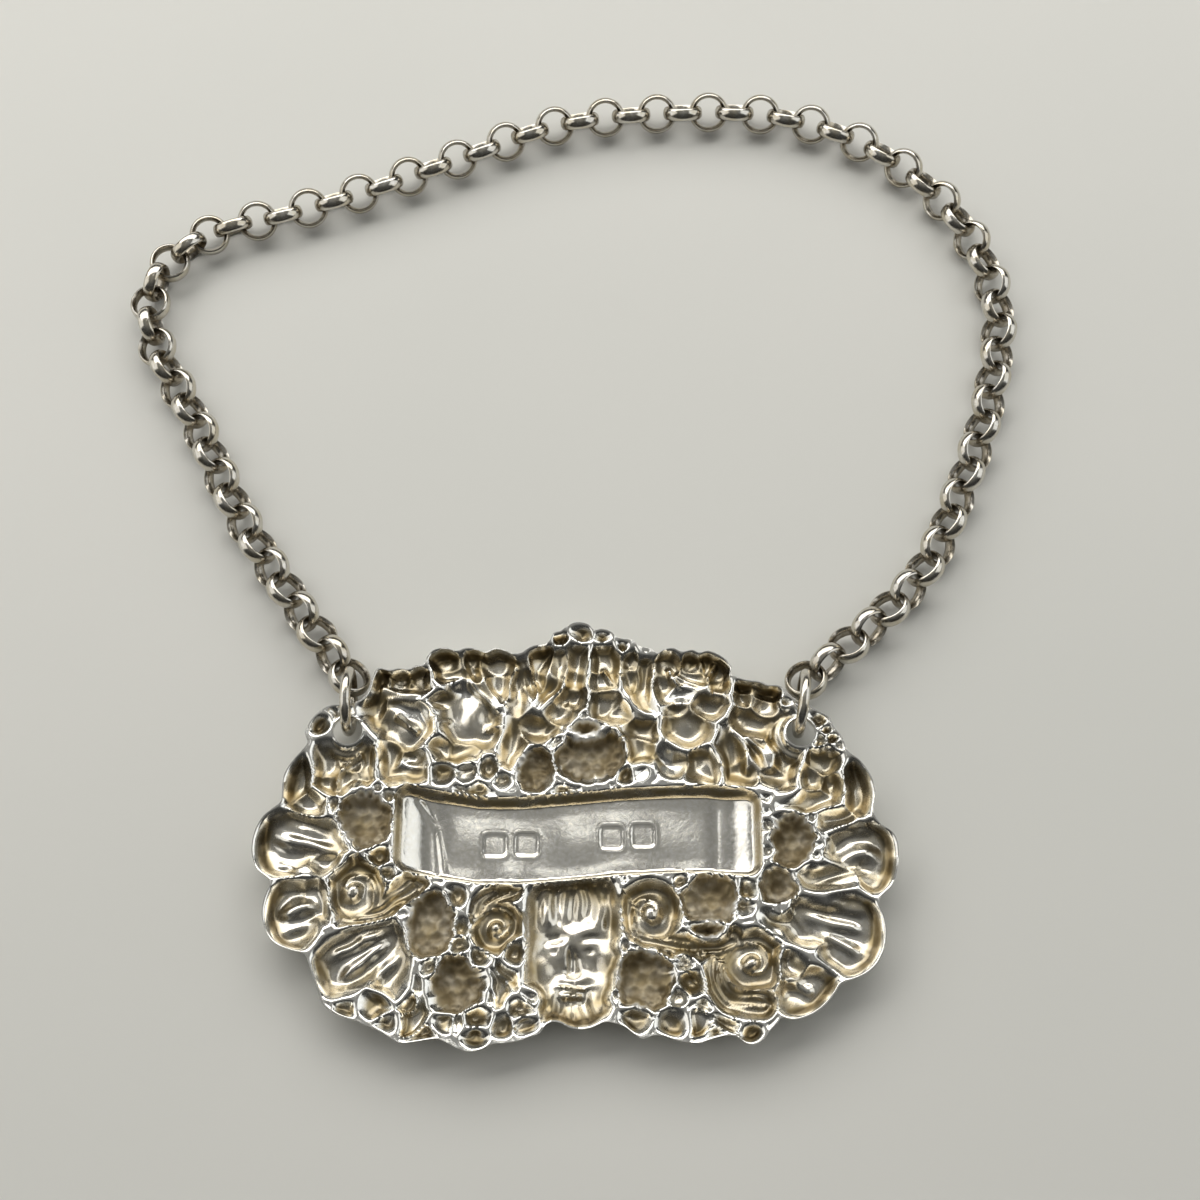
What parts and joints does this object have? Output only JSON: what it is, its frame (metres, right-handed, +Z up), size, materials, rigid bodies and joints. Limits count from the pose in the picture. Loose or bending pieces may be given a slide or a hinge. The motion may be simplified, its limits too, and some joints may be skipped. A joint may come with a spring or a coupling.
{
  "type": "wine label",
  "caption": "Stamped silver wine label with vine leaves, grapes, shells and a mask, on two jump rings and a closed belcher chain that hangs it round a bottle neck.",
  "frame": {"origin": "centre of the flat front of the title panel, which rests on the table", "axes": "+X along the label to the viewer's right in the picture, +Y from the label towards the far end of its chain, +Z up out of the label's back; the label lies face down on Z = 0"},
  "size_m": [0.0985, 0.1089, 0.0072],
  "materials": {
    "plate_silver": "bright stamped silver with brown tarnish in the hollows",
    "ring_silver": "polished silver wire",
    "chain_silver": "worn silver, darker inside the links"
  },
  "bodies": {
    "label": {"plate": "plate_silver"},
    "left_ring": {"left_jump_ring": "ring_silver"},
    "right_ring": {"right_jump_ring": "ring_silver"},
    "links_01": {"chain_links_01": "chain_silver"},
    "links_02": {"chain_links_02": "chain_silver"},
    "links_03": {"chain_links_03": "chain_silver"},
    "links_04": {"chain_links_04": "chain_silver"},
    "links_05": {"chain_links_05": "chain_silver"},
    "links_06": {"chain_links_06": "chain_silver"},
    "links_07": {"chain_links_07": "chain_silver"},
    "links_08": {"chain_links_08": "chain_silver"},
    "links_09": {"chain_links_09": "chain_silver"},
    "links_10": {"chain_links_10": "chain_silver"},
    "links_11": {"chain_links_11": "chain_silver"},
    "links_12": {"chain_links_12": "chain_silver"},
    "links_13": {"chain_links_13": "chain_silver"},
    "links_14": {"chain_links_14": "chain_silver"},
    "links_15": {"chain_links_15": "chain_silver"},
    "links_16": {"chain_links_16": "chain_silver"},
    "links_17": {"chain_links_17": "chain_silver"},
    "links_18": {"chain_links_18": "chain_silver"},
    "links_19": {"chain_links_19": "chain_silver"},
    "links_20": {"chain_links_20": "chain_silver"},
    "links_21": {"chain_links_21": "chain_silver"},
    "links_22": {"chain_links_22": "chain_silver"},
    "links_23": {"chain_links_23": "chain_silver"},
    "links_24": {"chain_links_24": "chain_silver"},
    "links_25": {"chain_links_25": "chain_silver"},
    "links_26": {"chain_links_26": "chain_silver"},
    "links_27": {"chain_links_27": "chain_silver"},
    "links_28": {"chain_links_28": "chain_silver"},
    "links_29": {"chain_links_29": "chain_silver"},
    "links_30": {"chain_links_30": "chain_silver"},
    "links_31": {"chain_links_31": "chain_silver"},
    "links_32": {"chain_links_32": "chain_silver"},
    "links_33": {"chain_links_33": "chain_silver"},
    "links_34": {"chain_links_34": "chain_silver"},
    "links_35": {"chain_links_35": "chain_silver"},
    "links_36": {"chain_links_36": "chain_silver"},
    "links_37": {"chain_links_37": "chain_silver"}
  },
  "joints": [
    {"name": "ring_swing", "type": "hinge", "parent": "label", "child": "left_ring", "pos_m": [-0.0235, 0.01343, 0.0036], "axis": [1, -0.0049, 0], "range_deg": [-60, 100]},
    {"name": "ring_swing_right", "type": "hinge", "parent": "label", "child": "right_ring", "pos_m": [0.02291, 0.0132, 0.0036], "axis": [1, -0.0049, 0], "range_deg": [-60, 100]},
    {"name": "fold_01", "type": "hinge", "parent": "left_ring", "child": "links_01", "pos_m": [-0.0235, 0.0161, 0.00213], "axis": [-1, 0.0055, 0], "range_deg": [-8, 8]},
    {"name": "fold_01_right", "type": "hinge", "parent": "right_ring", "child": "links_37", "pos_m": [0.02328, 0.01585, 0.00213], "axis": [-1, 0.0055, 0], "range_deg": [-8, 8]},
    {"name": "fold_02", "type": "hinge", "parent": "links_01", "child": "links_02", "pos_m": [-0.02647, 0.02006, 0.00213], "axis": [-0.9998, 0.0186, 0], "range_deg": [-8, 8]},
    {"name": "fold_02_right", "type": "hinge", "parent": "links_37", "child": "links_36", "pos_m": [0.02704, 0.01906, 0.00213], "axis": [-0.9998, 0.0186, 0], "range_deg": [-8, 8]},
    {"name": "fold_03", "type": "hinge", "parent": "links_02", "child": "links_03", "pos_m": [-0.02998, 0.02493, 0.00213], "axis": [-0.9995, 0.031, 0], "range_deg": [-8, 8]},
    {"name": "fold_03_right", "type": "hinge", "parent": "links_36", "child": "links_35", "pos_m": [0.03155, 0.02302, 0.00213], "axis": [-0.9995, 0.031, 0], "range_deg": [-8, 8]},
    {"name": "fold_04", "type": "hinge", "parent": "links_03", "child": "links_04", "pos_m": [-0.03334, 0.0299, 0.00213], "axis": [-0.9993, 0.0369, 0], "range_deg": [-8, 8]},
    {"name": "fold_04_right", "type": "hinge", "parent": "links_35", "child": "links_34", "pos_m": [0.03569, 0.02735, 0.00213], "axis": [-0.9993, 0.0369, 0], "range_deg": [-8, 8]},
    {"name": "fold_05", "type": "hinge", "parent": "links_04", "child": "links_05", "pos_m": [-0.03646, 0.03502, 0.00213], "axis": [-0.9994, 0.0341, 0], "range_deg": [-8, 8]},
    {"name": "fold_05_right", "type": "hinge", "parent": "links_34", "child": "links_33", "pos_m": [0.03881, 0.03245, 0.00213], "axis": [-0.9994, 0.0341, 0], "range_deg": [-8, 8]},
    {"name": "fold_06", "type": "hinge", "parent": "links_05", "child": "links_06", "pos_m": [-0.03919, 0.04036, 0.00213], "axis": [-0.9996, 0.0298, 0], "range_deg": [-8, 8]},
    {"name": "fold_06_right", "type": "hinge", "parent": "links_33", "child": "links_32", "pos_m": [0.04118, 0.03797, 0.00213], "axis": [-0.9996, 0.0298, 0], "range_deg": [-8, 8]},
    {"name": "fold_07", "type": "hinge", "parent": "links_06", "child": "links_07", "pos_m": [-0.04184, 0.04575, 0.00213], "axis": [-0.9997, 0.0257, 0], "range_deg": [-8, 8]},
    {"name": "fold_07_right", "type": "hinge", "parent": "links_32", "child": "links_31", "pos_m": [0.04335, 0.04356, 0.00213], "axis": [-0.9997, 0.0257, 0], "range_deg": [-8, 8]},
    {"name": "fold_08", "type": "hinge", "parent": "links_07", "child": "links_08", "pos_m": [-0.04475, 0.05095, 0.00213], "axis": [-0.9998, 0.0183, 0], "range_deg": [-8, 8]},
    {"name": "fold_08_right", "type": "hinge", "parent": "links_31", "child": "links_30", "pos_m": [0.04505, 0.04931, 0.00213], "axis": [-0.9998, 0.0183, 0], "range_deg": [-8, 8]},
    {"name": "fold_09", "type": "hinge", "parent": "links_08", "child": "links_09", "pos_m": [-0.04716, 0.0561, 0.00213], "axis": [-1, 0.0099, 0], "range_deg": [-8, 8]},
    {"name": "fold_09_right", "type": "hinge", "parent": "links_30", "child": "links_29", "pos_m": [0.04627, 0.05518, 0.00213], "axis": [-1, 0.0099, 0], "range_deg": [-8, 8]},
    {"name": "fold_10", "type": "hinge", "parent": "links_09", "child": "links_10", "pos_m": [-0.04769, 0.06156, 0.00213], "axis": [-1, 0.0044, 0], "range_deg": [-8, 8]},
    {"name": "fold_10_right", "type": "hinge", "parent": "links_29", "child": "links_28", "pos_m": [0.04638, 0.06115, 0.00213], "axis": [-1, 0.0044, 0], "range_deg": [-8, 8]},
    {"name": "fold_11", "type": "hinge", "parent": "links_10", "child": "links_11", "pos_m": [-0.04517, 0.06636, 0.00213], "axis": [-1, -0.0062, 0], "range_deg": [-8, 8]},
    {"name": "fold_11_right", "type": "hinge", "parent": "links_28", "child": "links_27", "pos_m": [0.04484, 0.06692, 0.00213], "axis": [-1, -0.0062, 0], "range_deg": [-8, 8]},
    {"name": "fold_12", "type": "hinge", "parent": "links_11", "child": "links_12", "pos_m": [-0.04066, 0.06954, 0.00213], "axis": [-0.9995, -0.0323, 0], "range_deg": [-8, 8]},
    {"name": "fold_12_right", "type": "hinge", "parent": "links_27", "child": "links_26", "pos_m": [0.04204, 0.07221, 0.00213], "axis": [-0.9995, -0.0323, 0], "range_deg": [-8, 8]},
    {"name": "fold_13", "type": "hinge", "parent": "links_12", "child": "links_13", "pos_m": [-0.03522, 0.0712, 0.00213], "axis": [-0.9972, -0.0754, 0], "range_deg": [-8, 8]},
    {"name": "fold_13_right", "type": "hinge", "parent": "links_26", "child": "links_25", "pos_m": [0.03814, 0.07675, 0.00213], "axis": [-0.9972, -0.0754, 0], "range_deg": [-8, 8]},
    {"name": "fold_14", "type": "hinge", "parent": "links_13", "child": "links_14", "pos_m": [-0.02952, 0.07295, 0.00213], "axis": [-0.993, -0.1182, 0], "range_deg": [-8, 8]},
    {"name": "fold_14_right", "type": "hinge", "parent": "links_25", "child": "links_24", "pos_m": [0.03343, 0.08044, 0.00213], "axis": [-0.993, -0.1182, 0], "range_deg": [-8, 8]},
    {"name": "fold_15", "type": "hinge", "parent": "links_14", "child": "links_15", "pos_m": [-0.02386, 0.07494, 0.00213], "axis": [-0.9879, -0.1553, 0], "range_deg": [-8, 8]},
    {"name": "fold_15_right", "type": "hinge", "parent": "links_24", "child": "links_23", "pos_m": [0.02807, 0.0831, 0.00213], "axis": [-0.9879, -0.1553, 0], "range_deg": [-8, 8]},
    {"name": "fold_16", "type": "hinge", "parent": "links_15", "child": "links_16", "pos_m": [-0.0183, 0.0772, 0.00213], "axis": [-0.9833, -0.1821, 0], "range_deg": [-8, 8]},
    {"name": "fold_16_right", "type": "hinge", "parent": "links_23", "child": "links_22", "pos_m": [0.0223, 0.08472, 0.00213], "axis": [-0.9833, -0.1821, 0], "range_deg": [-8, 8]},
    {"name": "fold_17", "type": "hinge", "parent": "links_16", "child": "links_17", "pos_m": [-0.01276, 0.0795, 0.00213], "axis": [-0.981, -0.1939, 0], "range_deg": [-8, 8]},
    {"name": "fold_17_right", "type": "hinge", "parent": "links_22", "child": "links_21", "pos_m": [0.01634, 0.08526, 0.00213], "axis": [-0.981, -0.1939, 0], "range_deg": [-8, 8]},
    {"name": "fold_18", "type": "hinge", "parent": "links_17", "child": "links_18", "pos_m": [-0.00724, 0.08186, 0.00213], "axis": [-0.9831, -0.1831, 0], "range_deg": [-8, 8]},
    {"name": "fold_18_right", "type": "hinge", "parent": "links_21", "child": "links_20", "pos_m": [0.01034, 0.08513, 0.00213], "axis": [-0.9831, -0.1831, 0], "range_deg": [-8, 8]},
    {"name": "crown_turn", "type": "hinge", "parent": "links_18", "child": "links_19", "pos_m": [-0.00156, 0.08374, 0.00213], "axis": [-0.9867, -0.1627, 0], "range_deg": [-8, 8]}
  ],
  "couplings": [
    {"joint": "ring_swing_right", "follows": "ring_swing", "ratio": 1},
    {"joint": "fold_01_right", "follows": "fold_01", "ratio": 1},
    {"joint": "fold_02_right", "follows": "fold_02", "ratio": 1},
    {"joint": "fold_03_right", "follows": "fold_03", "ratio": 1},
    {"joint": "fold_04_right", "follows": "fold_04", "ratio": 1},
    {"joint": "fold_05_right", "follows": "fold_05", "ratio": 1},
    {"joint": "fold_06_right", "follows": "fold_06", "ratio": 1},
    {"joint": "fold_07_right", "follows": "fold_07", "ratio": 1},
    {"joint": "fold_08_right", "follows": "fold_08", "ratio": 1},
    {"joint": "fold_09_right", "follows": "fold_09", "ratio": 1},
    {"joint": "fold_10_right", "follows": "fold_10", "ratio": 1},
    {"joint": "fold_11_right", "follows": "fold_11", "ratio": 1},
    {"joint": "fold_12_right", "follows": "fold_12", "ratio": 1},
    {"joint": "fold_13_right", "follows": "fold_13", "ratio": 1},
    {"joint": "fold_14_right", "follows": "fold_14", "ratio": 1},
    {"joint": "fold_15_right", "follows": "fold_15", "ratio": 1},
    {"joint": "fold_16_right", "follows": "fold_16", "ratio": 1},
    {"joint": "fold_17_right", "follows": "fold_17", "ratio": 1},
    {"joint": "fold_18_right", "follows": "fold_18", "ratio": 1}
  ]
}
